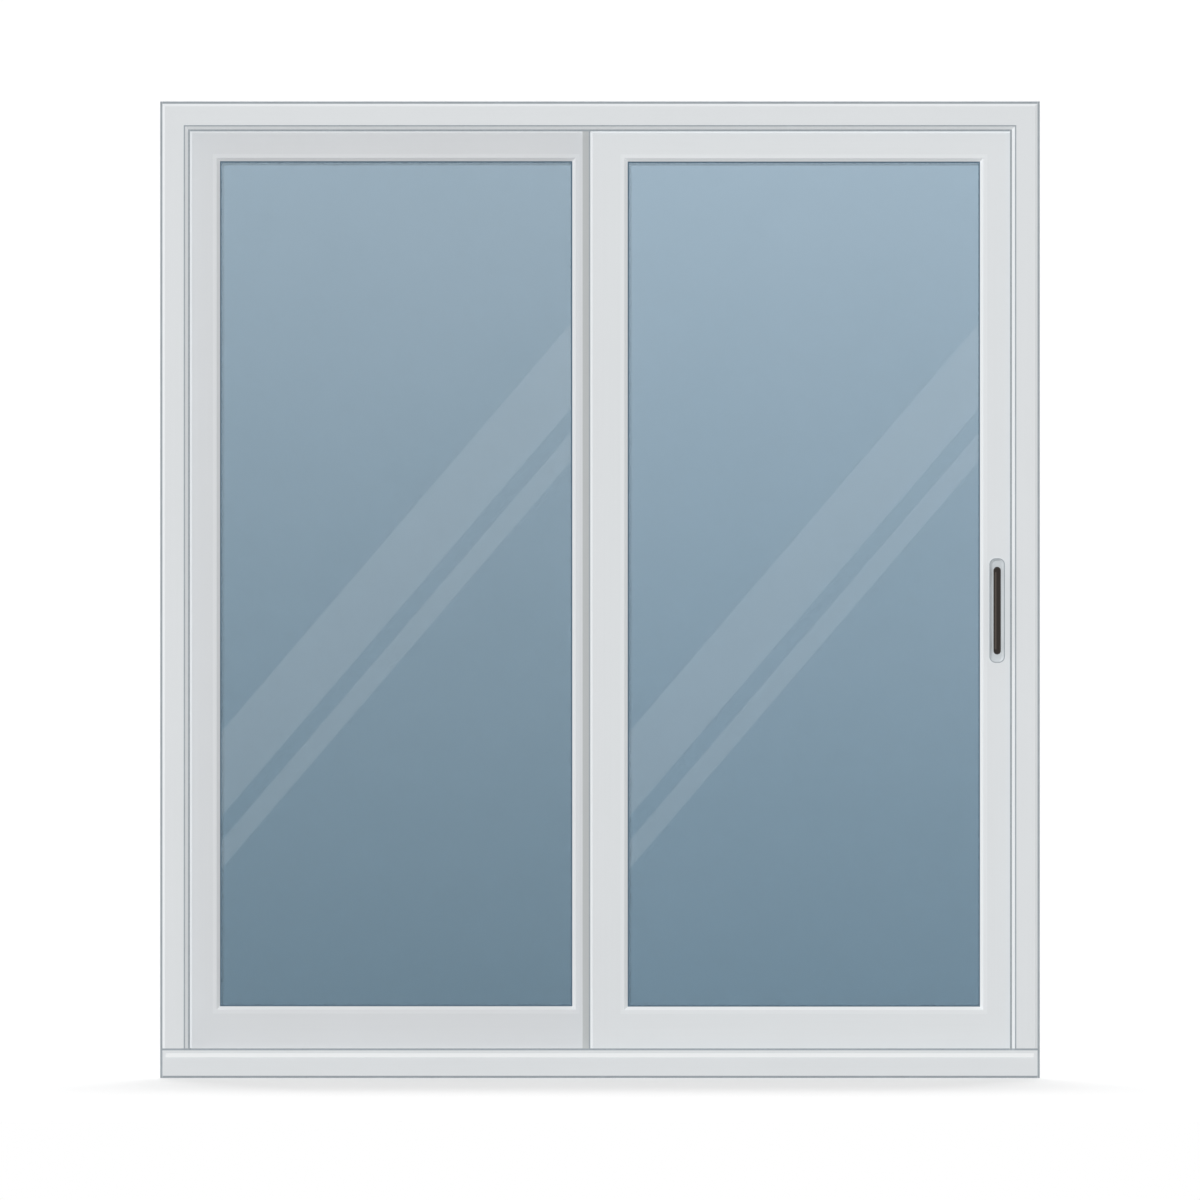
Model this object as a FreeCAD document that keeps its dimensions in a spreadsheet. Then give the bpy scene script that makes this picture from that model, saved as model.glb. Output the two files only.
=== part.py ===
import FreeCAD, Part
import math
import os
import re
import Sketcher

# Two-panel glass sliding patio door, closed.  Millimetres.
# Origin: middle of the sill's underside.  +X to the right seen from the room,
# +Y towards the outside, +Z up.

# Fixing holes in each jamb.
SCREWS = 4

# Two points nearer to each other than this are the same.
TOUCHING = 0.001

# Every size that can be set by itself, with what it measures.
SIZES = {
    # Whole door
    "door_width": (1816, "outside width of the frame"),
    "door_height": (2016, "outside height of the frame"),
    "frame_depth": (140, "frame depth from room face to outside face"),
    # Head and jamb profile, measured inwards from the outside of the frame
    "jamb_face": (48.5, "flat room face of head and jambs"),
    "edge_seal": (4.5, "width of the grey seal round the frame"),
    "edge_seal_depth": (9, "depth of the rebate of that seal"),
    "edge_seal_sink": (4, "how far the seal lies below the face"),
    "arris_width": (5, "outer bevel of the face, width"),
    "arris_drop": (4, "outer bevel of the face, depth"),
    "groove_width": (2.7, "shadow groove beside the inner bevel"),
    "groove_depth": (3, "depth of the shadow groove"),
    "bevel_width": (6.3, "inner bevel of the frame, width"),
    "bevel_depth": (6, "inner bevel of the frame, depth"),
    "bevel_start": (1, "depth at which the inner bevel starts"),
    "front_lip": (12, "thickness of the room-side lip"),
    "slide_floor": (44, "depth of the front lane into the frame"),
    "fixed_floor": (49.5, "depth of the rear lane into the frame"),
    "centre_rib": (8, "thickness of the rib between the lanes"),
    "rear_chamfer": (6, "chamfer of the outside lip"),
    "lip_seal": (4, "how far the pile seal shows past the lip"),
    "lip_seal_thick": (4, "thickness of the pile seal"),
    "lip_seal_sink": (1, "how far the pile seal lies in front of the lip's back"),
    "seal_joint": (0.4, "room between the ends of two seal strips"),
    # Sill
    "sill_height": (57, "height of the sill's lips"),
    "jamb_gasket": (4, "thickness of the gasket between jamb and sill"),
    "slide_lane": (40, "height of the front lane's floor above the base"),
    "sill_slope": (5, "fall of the outside lip"),
    "sill_slope_run": (9, "depth of that fall"),
    "nosing_height": (8.2, "height of the raised nosing on the sill"),
    "nosing_proud": (3.5, "how far the nosing stands out"),
    "nosing_inset": (12, "distance of the nosing's ends from the frame's ends"),
    "nosing_drop": (6, "distance of the nosing below the sill's top"),
    "weep_length": (32, "length of a drain slot on the outside"),
    "weep_height": (6, "height of a drain slot"),
    "weep_depth": (11, "depth of a drain slot"),
    "weep_level": (24, "height of the drain slots above the base"),
    "weep_inset": (150, "distance of a drain slot from the frame's end"),
    # Panels
    "panel_depth": (42, "thickness of both panels"),
    "panel_bottom": (48, "height of the panels' lower edge"),
    "panel_overlap": (46, "overlap of the meeting stiles"),
    "running_gap": (5, "room between the sliding panel and the lip"),
    "lane_gap": (22, "room between the two panels"),
    "outer_stile": (67, "face width of an outer stile"),
    "meeting_stile": (73.2, "face width of a meeting stile"),
    "top_rail": (67.5, "face height of a top rail"),
    "bottom_rail": (92, "face height of a bottom rail"),
    "step_width": (11, "band of a panel's edge that stands back"),
    "step_bevel": (4.5, "bevel between that band and the face, width"),
    "step_depth": (3, "how far that band stands back"),
    "meeting_bevel": (5, "bevel of the sliding panel's free edge"),
    "bead_face": (8, "flat part of a glazing bead"),
    "bead_bevel": (7, "bevelled part of a glazing bead"),
    "bead_thick": (8, "thickness of a glazing bead"),
    "gasket_face": (3, "how far the gasket shows past the bead"),
    "gasket_cover": (7.5, "how far the gasket reaches under the bead"),
    "glass_edge": (3, "room round the edge of the glass"),
    "glass_thick": (4, "thickness of each pane"),
    "glass_space": (16, "space between the panes"),
    "spacer_width": (8, "width of the bar between the panes"),
    "gasket_thick": (1.5, "thickness of the gasket"),
    # Interlock of the meeting stiles
    "interlock_sheet": (2, "thickness of the interlock profiles"),
    "interlock_show": (13, "width of interlock left of the sliding panel"),
    "interlock_notch": (18, "length of the notches at the interlocks' ends"),
    "interlock_foot": (12, "width of the sliding interlock's foot"),
    "interlock_web": (3, "thickness of its web, let into the stile's edge"),
    "interlock_leg": (26, "length of the interlock legs"),
    "interlock_clear": (5, "running room round the interlock legs"),
    # Track, guide and rollers
    "track_thick": (4, "thickness of the track and of the head guide"),
    "track_top": (55, "height of the track"),
    "track_edge": (1, "bevel along the free edges of track and guide"),
    "guide_drop": (16, "how far the head guide hangs down"),
    "guide_clear": (5, "running room round track and guide"),
    "track_base": (12, "width of the foot of track and guide"),
    "track_base_thick": (3, "thickness of that foot"),
    "roller_radius": (12, "radius of a roller"),
    "roller_width": (8, "width of a roller"),
    "tread_depth": (1.5, "depth of a roller's grooved tread"),
    "tread_width": (5, "width of that groove"),
    "axle_radius": (3, "radius of a roller axle"),
    "roller_lift": (0.3, "room between roller and track"),
    "carriage_plate": (2, "side plate of a roller carriage"),
    "carriage_length": (58, "length of a roller carriage"),
    "carriage_inset": (60, "distance of a carriage from the panel's edge"),
    "roller_room": (3, "room above a roller in its carriage"),
    # Stops
    "stop_length": (32, "length of the rubber stop"),
    "stop_width": (40, "width of the rubber stop"),
    "stop_height": (20, "height of the rubber stop"),
    # Room-side handle
    "handle_height": (965, "height of the handle's middle above the base"),
    "handle_edge": (38.5, "distance of the handle from the panel's edge"),
    "plate_width": (32, "width of the dished handle plate"),
    "plate_height": (216, "height of the dished handle plate"),
    "plate_corner": (13, "corner radius of the plate"),
    "plate_proud": (2, "how far the plate stands out of the stile"),
    "plate_rim": (1.6, "flat rim of the plate"),
    "plate_lap": (1, "how far the plate's rim laps over the stile"),
    "dish_depth": (7, "depth of the dish below the plate's rim"),
    "dish_floor": (2, "thickness of the dish's floor"),
    "dish_slope": (32, "slope of the dish's walls, in degrees"),
    "grip_width": (15.2, "width of the grip bar"),
    "grip_height": (181, "height of the grip bar"),
    "grip_thick": (12, "thickness of the grip bar"),
    "grip_round": (5, "rounding of the grip bar's front"),
    "grip_gap": (24, "finger room behind the grip bar"),
    "post_radius": (5, "radius of the grip's posts"),
    "post_inset": (16, "distance of a post from the grip's end"),
    # Outside finger pull
    "pull_width": (26, "width of the outside finger pull"),
    "pull_height": (130, "height of the outside finger pull"),
    "pull_depth": (13, "depth of the outside finger pull"),
    "pull_corner": (9, "corner radius of the outside finger pull"),
    "pull_wall": (2, "wall of the outside finger pull"),
    # Lock
    "lock_width": (16, "width of the lock's face plate"),
    "lock_height": (150, "height of the lock's face plate"),
    "lock_thick": (2, "thickness of the lock's face plate"),
    "bolt_slot": (6, "width of the slots for the hook bolt"),
    "bolt_slot_height": (30, "height of those slots"),
    "strike_height": (120, "height of the strike plate"),
    # Fixing screws
    "screw_radius": (3, "radius of the fixing holes in the jambs"),
    "screw_first": (190, "height of the lowest fixing hole"),
    "screw_last": (191, "distance of the highest fixing hole from the top"),
}

# What follows from the sizes.  Depths are measured from the door's middle plane.
FORMULAS = {
    "half_width": "door_width / 2",
    "room_face": "-frame_depth / 2",
    "outside_face": "frame_depth / 2",
    "bevel_edge": "jamb_face + groove_width",
    "lip_edge": "bevel_edge + bevel_width",
    "mitre_reach": "2 * lip_edge",
    "screw_pitch": f"(door_height - screw_first - screw_last) / {SCREWS - 1}",
    "lip_back": "room_face + front_lip",
    "slide_front": "lip_back + running_gap",
    "slide_back": "slide_front + panel_depth",
    "fixed_front": "slide_back + lane_gap",
    "fixed_back": "fixed_front + panel_depth",
    "slide_middle": "(slide_front + slide_back) / 2",
    "rib_front": "(slide_back + fixed_front - centre_rib) / 2",
    "rib_back": "(slide_back + fixed_front + centre_rib) / 2",
    "panel_top": "door_height - fixed_floor",
    "panel_height": "panel_top - panel_bottom",
    "panel_width": "(door_width - 2 * fixed_floor + panel_overlap) / 2",
    "fixed_left": "fixed_floor - half_width",
    "fixed_right": "fixed_left + panel_width",
    "slide_left": "-panel_overlap / 2",
    "slide_right": "slide_left + panel_width",
    "bead_reach": "bead_face + bead_bevel",
    "unit_thick": "2 * glass_thick + glass_space",
    "unit_front": "bead_thick + gasket_thick",
    "unit_back": "unit_front + unit_thick",
    "jamb_base": "sill_height + jamb_gasket",
    "jamb_length": "door_height - jamb_base",
    "track_groove": "track_thick + 2 * guide_clear",
    "head_soffit": "door_height - slide_floor",
    "guide_bottom": "head_soffit - guide_drop",
    "top_groove": "panel_top - guide_bottom + guide_clear",
    "bottom_groove": "track_top + guide_clear - panel_bottom",
    "roller_middle": "track_top + roller_lift + roller_radius",
    "carriage_top": "roller_middle + roller_radius + roller_room",
    "carriage_gap": "track_groove - 2 * carriage_plate",
    "stop_end": "slide_floor + stop_length",
    "handle_x": "slide_right - handle_edge",
    "plate_back": "slide_front - plate_proud + dish_depth + dish_floor",
    "dish_bottom": "slide_front - plate_proud + dish_depth",
    "grip_back": "dish_bottom - grip_gap",
    "track_room_front": "slide_middle - track_groove / 2",
    "fixed_plate_front": "fixed_front - interlock_sheet",
    "slide_leg_back": "fixed_plate_front - interlock_clear",
    "slide_leg_front": "slide_leg_back - interlock_sheet",
    "fixed_leg_front": "slide_back + interlock_clear",
    "fixed_leg_back": "fixed_leg_front + interlock_sheet",
}

doc = FreeCAD.newDocument("patio_door")
sizes = doc.addObject("Spreadsheet::Sheet", "sizes")
for row, (size_name, (number, meaning)) in enumerate(SIZES.items(), start=1):
    sizes.set(f"A{row}", size_name)
    sizes.set(f"B{row}", str(number))
    sizes.setAlias(f"B{row}", size_name)
    sizes.set(f"C{row}", meaning)
doc.recompute()

parts = []


def bound(formula):
    """The formula as an expression on the sheet's cells."""

    def cell(match):
        word = match.group(0)
        if word in FORMULAS:
            return f"({bound(FORMULAS[word])})"
        if word in SIZES:
            return f"sizes.{word}"
        return word

    return re.sub(r"[a-z_]+", cell, str(formula))


def value(formula):
    """The number that a formula gives with the sizes on the sheet."""
    return float(sizes.evalExpression(bound(formula)))


def bind(thing, field, formula):
    thing.setExpression(field, bound(formula))


def place(thing, x="0", y="0", z="0"):
    """Put an object at a point given by three formulas."""
    for axis, formula in zip("xyz", (x, y, z)):
        bind(thing, f".Placement.Base.{axis}", formula)


def new_body(label):
    body = doc.addObject("PartDesign::Body", label)
    body.Label = label
    parts.append(body)
    return body


def new_sketch(body, role, offset=None):
    """A sketch on one of the body's own origin planes, or offset from it."""
    plane = next(o for o in body.Origin.OriginFeatures if o.Role == role)
    sketch = body.newObject("Sketcher::SketchObject", f"{body.Label}_sketch")
    sketch.AttachmentSupport = [(plane, "")]
    sketch.MapMode = "FlatFace"
    if offset is not None:
        bind(sketch, ".AttachmentOffset.Base.z", offset)
    doc.recompute()
    return sketch


def pin(sketch, curve, end, x, y):
    """Hold a point of a sketch at two formulas from the sketch's origin."""
    for kind, formula in (("DistanceX", x), ("DistanceY", y)):
        number = value(formula)
        index = sketch.addConstraint(
            Sketcher.Constraint(kind, -1, 1, curve, end, number)
        )
        name = f"{kind}_{curve}_{end}"
        sketch.renameConstraint(index, name)
        bind(sketch, f"Constraints.{name}", formula)


def draw_polygon(sketch, corners):
    """A closed outline of straight lines through corners given by formulas."""
    points = [FreeCAD.Vector(value(x), value(y), 0) for x, y in corners]
    first = sketch.GeometryCount
    count = len(points)
    for i in range(count):
        sketch.addGeometry(Part.LineSegment(points[i], points[(i + 1) % count]))
    for i in range(count):
        follower = first + (i + 1) % count
        sketch.addConstraint(
            Sketcher.Constraint("Coincident", first + i, 2, follower, 1)
        )
    for i, (x, y) in enumerate(corners):
        pin(sketch, first + i, 1, x, y)


def draw_rectangle(sketch, low_x, high_x, low_y, high_y):
    draw_polygon(
        sketch,
        [(low_x, low_y), (high_x, low_y), (high_x, high_y), (low_x, high_y)],
    )


def fix_radius(sketch, curve, radius):
    index = sketch.addConstraint(Sketcher.Constraint("Radius", curve, value(radius)))
    sketch.renameConstraint(index, f"Radius_{curve}")
    bind(sketch, f"Constraints.Radius_{curve}", radius)


def draw_round_outline(sketch, centres, radius):
    """A closed outline of arcs round the given centres, joined by tangent lines."""
    middles = [FreeCAD.Vector(value(x), value(y), 0) for x, y in centres]
    count = len(middles)
    first = sketch.GeometryCount
    size = value(radius)
    up = FreeCAD.Vector(0, 0, 1)
    outward = []
    for i, middle in enumerate(middles):
        along = middles[(i + 1) % count] - middle
        outward.append(math.atan2(-along.x, along.y))
    for i, middle in enumerate(middles):
        start, end = outward[i - 1], outward[i]
        while end < start:
            end += 2 * math.pi
        circle = Part.Circle(middle, up, size)
        sketch.addGeometry(Part.ArcOfCircle(circle, start, end))
    for i, middle in enumerate(middles):
        step = FreeCAD.Vector(math.cos(outward[i]), math.sin(outward[i]), 0) * size
        follower = middles[(i + 1) % count]
        sketch.addGeometry(Part.LineSegment(middle + step, follower + step))
    for i, (x, y) in enumerate(centres):
        arc = first + i
        line = first + count + i
        next_arc = first + (i + 1) % count
        sketch.addConstraint(Sketcher.Constraint("Tangent", arc, 2, line, 1))
        sketch.addConstraint(Sketcher.Constraint("Tangent", line, 2, next_arc, 1))
        pin(sketch, arc, 3, x, y)
        fix_radius(sketch, arc, radius)


def draw_rounded_rectangle(sketch, x, y, width, height, radius):
    across = f"(({width}) / 2 - ({radius}))"
    up = f"(({height}) / 2 - ({radius}))"
    centres = [
        (f"{x} + {sx} * {across}", f"{y} + {sy} * {up}")
        for sx, sy in ((-1, -1), (1, -1), (1, 1), (-1, 1))
    ]
    draw_round_outline(sketch, centres, radius)


def draw_capsule(sketch, x, y, width, height):
    up = f"(({height}) - ({width})) / 2"
    centres = [(x, f"{y} - {up}"), (x, f"{y} + {up}")]
    draw_round_outline(sketch, centres, f"({width}) / 2")


def draw_capsule_across(sketch, x, y, width, height):
    across = f"(({width}) - ({height})) / 2"
    centres = [(f"{x} - {across}", y), (f"{x} + {across}", y)]
    draw_round_outline(sketch, centres, f"({height}) / 2")


def draw_circle(sketch, x, y, radius):
    centre = FreeCAD.Vector(value(x), value(y), 0)
    up = FreeCAD.Vector(0, 0, 1)
    curve = sketch.addGeometry(Part.Circle(centre, up, value(radius)))
    pin(sketch, curve, 3, x, y)
    fix_radius(sketch, curve, radius)


def pad(body, sketch, length, symmetric=False, backwards=False):
    feature = body.newObject("PartDesign::Pad", f"{body.Label}_pad")
    feature.Profile = sketch
    bind(feature, "Length", length)
    feature.SideType = "Symmetric" if symmetric else "One side"
    feature.Reversed = backwards
    doc.recompute()
    return feature


def pocket(body, sketch, length=None, backwards=False):
    """Cut the sketch through everything, or the given length."""
    before = body.Shape.Volume
    feature = body.newObject("PartDesign::Pocket", f"{body.Label}_pocket")
    feature.Profile = sketch
    if length is None:
        feature.Type = "ThroughAll"
        feature.SideType = "Symmetric"
    else:
        bind(feature, "Length", length)
        feature.Reversed = backwards
    doc.recompute()
    if not body.Shape.Volume < before:
        raise RuntimeError(f"a pocket of {body.Label} cuts nothing")
    return feature


def symmetric_pocket(body, sketch, length):
    """Cut the sketch to half the length on each side of its plane."""
    feature = pocket(body, sketch, length)
    feature.SideType = "Symmetric"
    doc.recompute()
    return feature


def box(name, low_x, high_x, low_y, high_y, low_z, high_z):
    """A block between two corners given by formulas."""
    block = doc.addObject("Part::Box", name)
    bind(block, "Length", f"({high_x}) - ({low_x})")
    bind(block, "Width", f"({high_y}) - ({low_y})")
    bind(block, "Height", f"({high_z}) - ({low_z})")
    place(block, low_x, low_y, low_z)
    doc.recompute()
    return block


def group(label, blocks):
    """Several solids that don't touch, as one sub-part."""
    union = doc.addObject("Part::MultiFuse", label)
    union.Label = label
    union.Shapes = blocks
    doc.recompute()
    parts.append(union)
    return union


def block_part(label, *corners):
    """A sub-part that is one plain block."""
    block = box(label, *corners)
    block.Label = label
    parts.append(block)
    return block


def dress(body, kind, field, size, test):
    """Chamfer or round the body's edges whose two ends pass a test."""
    base = body.Tip
    names = []
    for i, edge in enumerate(base.Shape.Edges, start=1):
        ends = [vertex.Point for vertex in edge.Vertexes]
        if len(ends) == 2 and test(ends[0], ends[1]):
            names.append(f"Edge{i}")
    feature = body.newObject(kind, f"{body.Label}_{field.lower()}")
    feature.Base = (base, names)
    bind(feature, field, size)
    doc.recompute()


# Head and jamb profile: how far inwards, then the depth.
ROOM_FACE = [
    ("0", "room_face + edge_seal_depth"),
    ("edge_seal", "room_face + edge_seal_depth"),
    ("edge_seal", "room_face + arris_drop"),
    ("edge_seal + arris_width", "room_face"),
    ("jamb_face", "room_face"),
    ("jamb_face", "room_face + groove_depth"),
    ("bevel_edge", "room_face + groove_depth"),
    ("bevel_edge", "room_face + bevel_start"),
]
TWO_LANES = [
    ("lip_edge", "room_face + bevel_start + bevel_depth"),
    ("lip_edge", "lip_back"),
    ("slide_floor", "lip_back"),
    ("slide_floor", "rib_front"),
    ("lip_edge", "rib_front"),
    ("lip_edge", "rib_back"),
    ("fixed_floor", "rib_back"),
    ("fixed_floor", "fixed_back"),
    ("lip_edge", "fixed_back"),
    ("lip_edge", "outside_face - rear_chamfer"),
]
OUTSIDE_FACE = [
    ("lip_edge - rear_chamfer", "outside_face"),
    ("0", "outside_face"),
]
GASKET_FRONT = [
    ("edge_seal", "room_face + edge_seal_depth"),
    ("edge_seal", "room_face + groove_depth"),
    ("bevel_edge", "room_face + groove_depth"),
]
GASKET_BACK = [("edge_seal", "outside_face - rear_chamfer")]


def frame_profile(side, front=ROOM_FACE, back=OUTSIDE_FACE):
    """The outline of a jamb, or of its gasket, that faces the given side."""
    outline = front + TWO_LANES + back
    return [(f"{side} * ({inwards})", depth) for inwards, depth in outline]


def make_jamb(label, side):
    """A jamb on the sill, mitred to the head, with its fixing holes."""
    body = new_body(label)
    profile = new_sketch(body, "XY_Plane")
    draw_polygon(profile, frame_profile(side))
    pad(body, profile, "jamb_length")
    mitre = new_sketch(body, "XZ_Plane")
    draw_polygon(
        mitre,
        [
            ("0", "jamb_length"),
            (f"{side} * mitre_reach", "jamb_length"),
            (f"{side} * mitre_reach", "jamb_length - mitre_reach"),
        ],
    )
    pocket(body, mitre)
    holes = new_sketch(body, "YZ_Plane")
    for i in range(SCREWS):
        draw_circle(
            holes,
            "slide_middle",
            f"screw_first - jamb_base + {i} * screw_pitch",
            "screw_radius",
        )
    pocket(body, holes)
    place(body, f"-({side}) * half_width", "0", "jamb_base")
    return body


def make_head():
    """The head, mitred to both jambs."""
    body = new_body("head")
    profile = new_sketch(body, "YZ_Plane")
    draw_polygon(
        profile,
        [(depth, f"-({inwards})") for inwards, depth in frame_profile("1")],
    )
    pad(body, profile, "door_width", symmetric=True)
    for side in ("-1", "1"):
        mitre = new_sketch(body, "XZ_Plane")
        draw_polygon(
            mitre,
            [
                (f"{side} * half_width", "0"),
                (f"{side} * (half_width - mitre_reach)", "-mitre_reach"),
                (f"{side} * half_width", "-mitre_reach"),
            ],
        )
        pocket(body, mitre)
    place(body, z="door_height")


def drain_places():
    """The drain slots: one near each end of either lane's half of the sill."""
    end = "half_width - weep_inset"
    return [f"-({end})", "-weep_inset", "weep_inset", end]


def make_sill():
    """The sill: two lanes between its lips, with solid ends under the jambs."""
    body = new_body("sill")
    outline = new_sketch(body, "YZ_Plane")
    draw_polygon(
        outline,
        [
            ("room_face", "edge_seal"),
            ("room_face", "sill_height"),
            ("outside_face - sill_slope_run", "sill_height"),
            ("outside_face", "sill_height - sill_slope"),
            ("outside_face", "0"),
            ("room_face + edge_seal_depth", "0"),
            ("room_face + edge_seal_depth", "edge_seal"),
        ],
    )
    pad(body, outline, "door_width", symmetric=True)
    front_lane = new_sketch(body, "YZ_Plane")
    draw_rectangle(
        front_lane, "lip_back", "rib_front", "slide_lane", "sill_height + edge_seal"
    )
    symmetric_pocket(body, front_lane, "door_width - 2 * slide_floor")
    rear_lane = new_sketch(body, "YZ_Plane")
    draw_rectangle(
        rear_lane, "rib_back", "fixed_back", "panel_bottom", "sill_height + edge_seal"
    )
    symmetric_pocket(body, rear_lane, "door_width - 2 * fixed_floor")
    ends = new_sketch(body, "XY_Plane")
    for side in ("-1", "1"):
        draw_rectangle(
            ends,
            f"{side} * half_width",
            f"{side} * (half_width - edge_seal)",
            "room_face",
            "room_face + edge_seal_depth",
        )
    pocket(body, ends)
    drains = new_sketch(body, "XZ_Plane", "-outside_face")
    for x in drain_places():
        draw_capsule_across(drains, x, "weep_level", "weep_length", "weep_height")
    pocket(body, drains, "weep_depth", backwards=True)


def make_nosing():
    """The raised strip along the sill's room face, sloping outwards and down."""
    body = new_body("sill_nosing")
    outline = new_sketch(body, "YZ_Plane")
    draw_polygon(
        outline,
        [
            ("room_face", "sill_height - nosing_drop"),
            ("room_face", "sill_height - nosing_drop - nosing_height"),
            (
                "room_face - nosing_proud",
                "sill_height - nosing_drop - nosing_height",
            ),
        ],
    )
    pad(body, outline, "door_width - 2 * nosing_inset", symmetric=True)


def make_seals():
    """The grey seal round the frame and the pile seal on its room-side lips."""
    front = "room_face + edge_seal_sink"
    back = "room_face + edge_seal_depth"
    left = ("-half_width", "edge_seal - half_width")
    right = ("half_width - edge_seal", "half_width")
    end = "(half_width - edge_seal - seal_joint)"
    middle = (f"-{end}", end)
    group(
        "frame_edge_seal",
        [
            box("edge_left", *left, front, back, "0", "door_height"),
            box("edge_right", *right, front, back, "0", "door_height"),
            box("edge_base", *middle, front, back, "0", "edge_seal"),
            box(
                "edge_top",
                *middle,
                front,
                back,
                "door_height - edge_seal",
                "door_height",
            ),
        ],
    )
    back = "lip_back - lip_seal_sink"
    front = f"{back} - lip_seal_thick"
    inner = "lip_edge + lip_seal"
    low = "sill_height"
    high = "door_height - lip_edge"
    left = ("lip_edge - half_width", f"{inner} - half_width")
    right = (f"half_width - ({inner})", "half_width - lip_edge")
    end = f"(half_width - ({inner}) - seal_joint)"
    middle = (f"-{end}", end)
    group(
        "lip_pile_seal",
        [
            box("pile_left", *left, front, back, low, high),
            box("pile_right", *right, front, back, low, high),
            box("pile_base", *middle, front, back, low, f"{low} + lip_seal"),
            box("pile_top", *middle, front, back, f"{high} - lip_seal", high),
        ],
    )


def make_jamb_gaskets():
    """The thin gaskets between the jambs' feet and the sill."""
    gaskets = []
    for side in ("1", "-1"):
        body = doc.addObject("PartDesign::Body", f"jamb_gasket_{len(gaskets)}")
        outline = new_sketch(body, "XY_Plane")
        draw_polygon(outline, frame_profile(side, GASKET_FRONT, GASKET_BACK))
        pad(body, outline, "jamb_gasket")
        place(body, f"-({side}) * half_width", "0", "sill_height")
        gaskets.append(body)
    doc.recompute()
    group("jamb_gaskets", gaskets)


def make_ribbed_strip(label, foot, foot_end, rib_shoulder, rib_end, start):
    """A flat foot with an upright rib: the roller track or the head guide."""
    body = new_body(label)
    outline = new_sketch(body, "YZ_Plane")
    half = [
        ("track_base / 2", foot),
        ("track_base / 2", foot_end),
        ("track_thick / 2", foot_end),
        ("track_thick / 2", rib_shoulder),
        ("track_thick / 2 - track_edge", rib_end),
    ]
    near = [(f"slide_middle - ({across})", up) for across, up in half]
    far = [(f"slide_middle + ({across})", up) for across, up in reversed(half)]
    draw_polygon(outline, near + far)
    pad(body, outline, f"door_width - slide_floor - {start}")
    place(body, x=f"{start} - half_width")


def make_track():
    """The roller track on the sill and the guide under the head."""
    make_ribbed_strip(
        "roller_track",
        "slide_lane",
        "slide_lane + track_base_thick",
        "track_top - track_edge",
        "track_top",
        "stop_end",
    )
    make_ribbed_strip(
        "head_guide",
        "head_soffit",
        "head_soffit - track_base_thick",
        "guide_bottom + track_edge",
        "guide_bottom",
        "slide_floor",
    )


# A stile's outer edge, from its back to its face: how far inwards, then the depth.
STEPPED_EDGE = [
    ("0", "panel_depth"),
    ("0", "step_depth"),
    ("step_width", "step_depth"),
    ("step_width + step_bevel", "0"),
]
MEETING_EDGE = [
    ("interlock_web", "panel_depth"),
    ("interlock_web", "meeting_bevel"),
    ("interlock_web + meeting_bevel", "0"),
]
PLAIN_EDGE = [("0", "panel_depth"), ("0", "0")]


def make_stile(label, side, width, edge):
    """A stile of a panel: side 1 has its outer edge on the left."""
    body = new_body(label)
    rebate = f"({width} - bead_face)"
    reach = f"({width} + bead_bevel)"
    profile = new_sketch(body, "XY_Plane")
    outline = edge + [
        (rebate, "0"),
        (rebate, "unit_back"),
        (reach, "unit_back"),
        (reach, "panel_depth - bead_bevel"),
        (width, "panel_depth"),
    ]
    draw_polygon(
        profile, [(f"{side} * ({across})", depth) for across, depth in outline]
    )
    pad(body, profile, "panel_height")
    for end, sign, rail in (
        ("0", "1", "(bottom_rail - bead_face)"),
        ("panel_height", "-1", "(top_rail - bead_face)"),
    ):
        far = f"({rebate} + 2 * bead_reach)"
        mitre = new_sketch(body, "XZ_Plane")
        draw_polygon(
            mitre,
            [
                (f"{side} * {rebate}", end),
                (f"{side} * {far}", end),
                (f"{side} * {far}", f"{end} + {sign} * ({rail} + 2 * bead_reach)"),
                (f"{side} * {rebate}", f"{end} + {sign} * {rail}"),
            ],
        )
        pocket(body, mitre)
    cut_top_step(body, "panel_height")
    return body


def cut_top_step(body, top):
    """Set back the band along the panel's top edge, with its bevel."""
    step = new_sketch(body, "YZ_Plane")
    draw_polygon(
        step,
        [
            ("0", f"{top} - step_width - step_bevel"),
            ("step_depth", f"{top} - step_width"),
            ("step_depth", f"{top} + step_depth"),
            ("-step_depth", f"{top} + step_depth"),
            ("-step_depth", f"{top} - step_width - step_bevel"),
        ],
    )
    pocket(body, step)


def make_rail(label, side, height, left_stile, right_stile):
    """A rail between two stiles: side 1 has its outer edge at the bottom."""
    body = new_body(label)
    rebate = f"({height} - bead_face)"
    reach = f"({height} + bead_bevel)"
    length = f"(panel_width - {left_stile} - {right_stile} + 2 * bead_face)"
    profile = new_sketch(body, "YZ_Plane")
    outline = [
        ("0", "0"),
        ("0", rebate),
        ("unit_back", rebate),
        ("unit_back", reach),
        ("panel_depth - bead_bevel", reach),
        ("panel_depth", height),
        ("panel_depth", "0"),
    ]
    draw_polygon(profile, [(depth, f"{side} * {up}") for depth, up in outline])
    pad(body, profile, length)
    for end, sign in (("0", "1"), (length, "-1")):
        mitre = new_sketch(body, "XZ_Plane")
        draw_polygon(
            mitre,
            [
                (end, f"{side} * {rebate}"),
                (
                    f"{end} + {sign} * 2 * bead_reach",
                    f"{side} * ({rebate} + 2 * bead_reach)",
                ),
                (end, f"{side} * ({rebate} + 2 * bead_reach)"),
            ],
        )
        pocket(body, mitre)
    return body


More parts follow.
